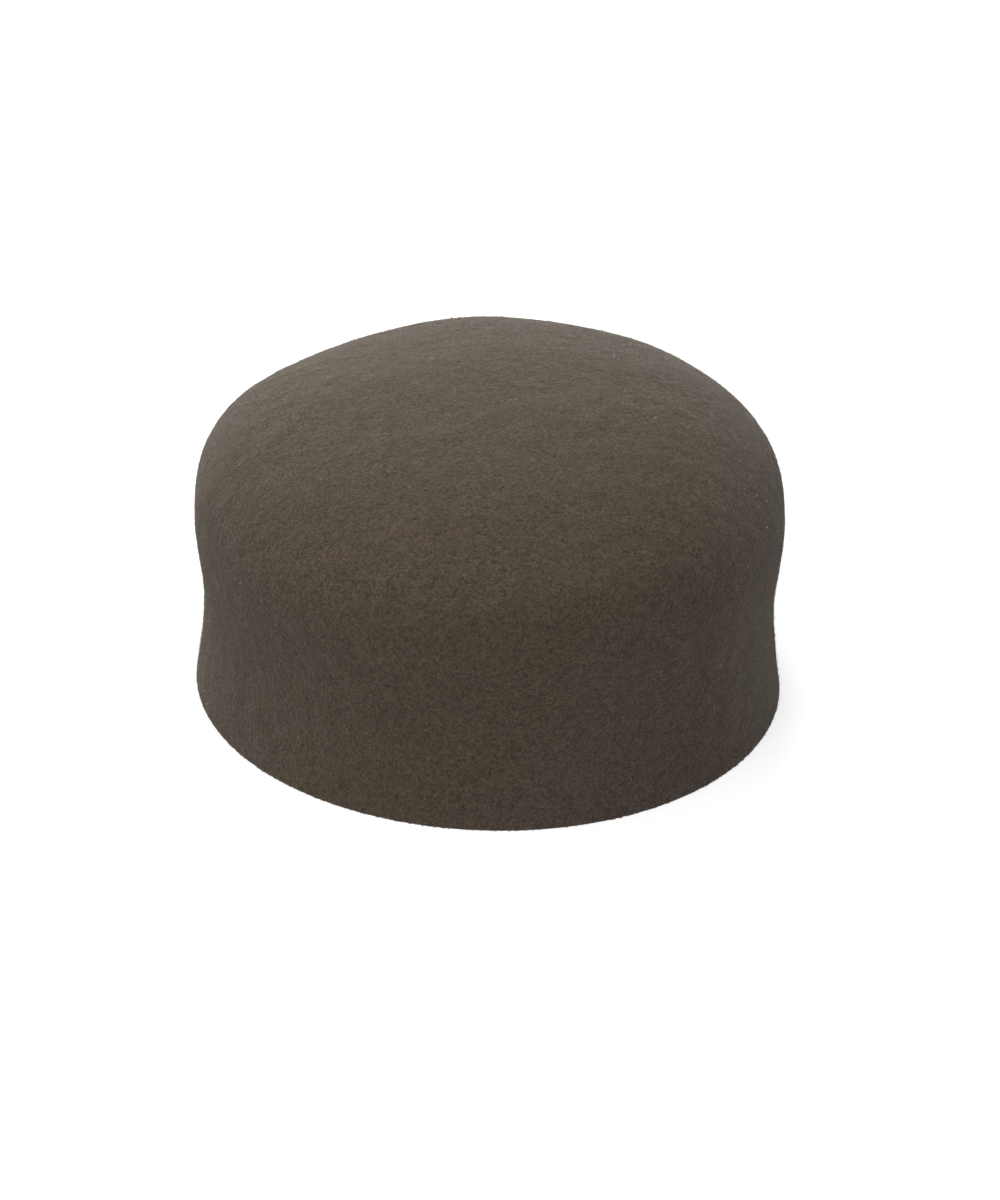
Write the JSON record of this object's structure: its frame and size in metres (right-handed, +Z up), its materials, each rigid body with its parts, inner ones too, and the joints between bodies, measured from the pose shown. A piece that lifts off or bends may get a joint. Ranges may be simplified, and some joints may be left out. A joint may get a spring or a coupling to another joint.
{
  "type": "felt cap",
  "caption": "Brimless oval wool felt cap, blocked in one piece: gently domed crown, softly waisted wall and a raw cut rim; hollow, worn on the head or rested on its rim.",
  "frame": {"origin": "centre of the oval rim, on the surface that the rim rests on", "axes": "+Z up through the crown, -Y towards the front of the cap, +X towards the side that is on the right when the cap is seen from its front"},
  "size_m": [0.1811, 0.208, 0.0999],
  "materials": {
    "felt": "matt brushed wool felt, olive brown"
  },
  "bodies": {
    "root": {"felt_cap": "felt"}
  },
  "joints": []
}
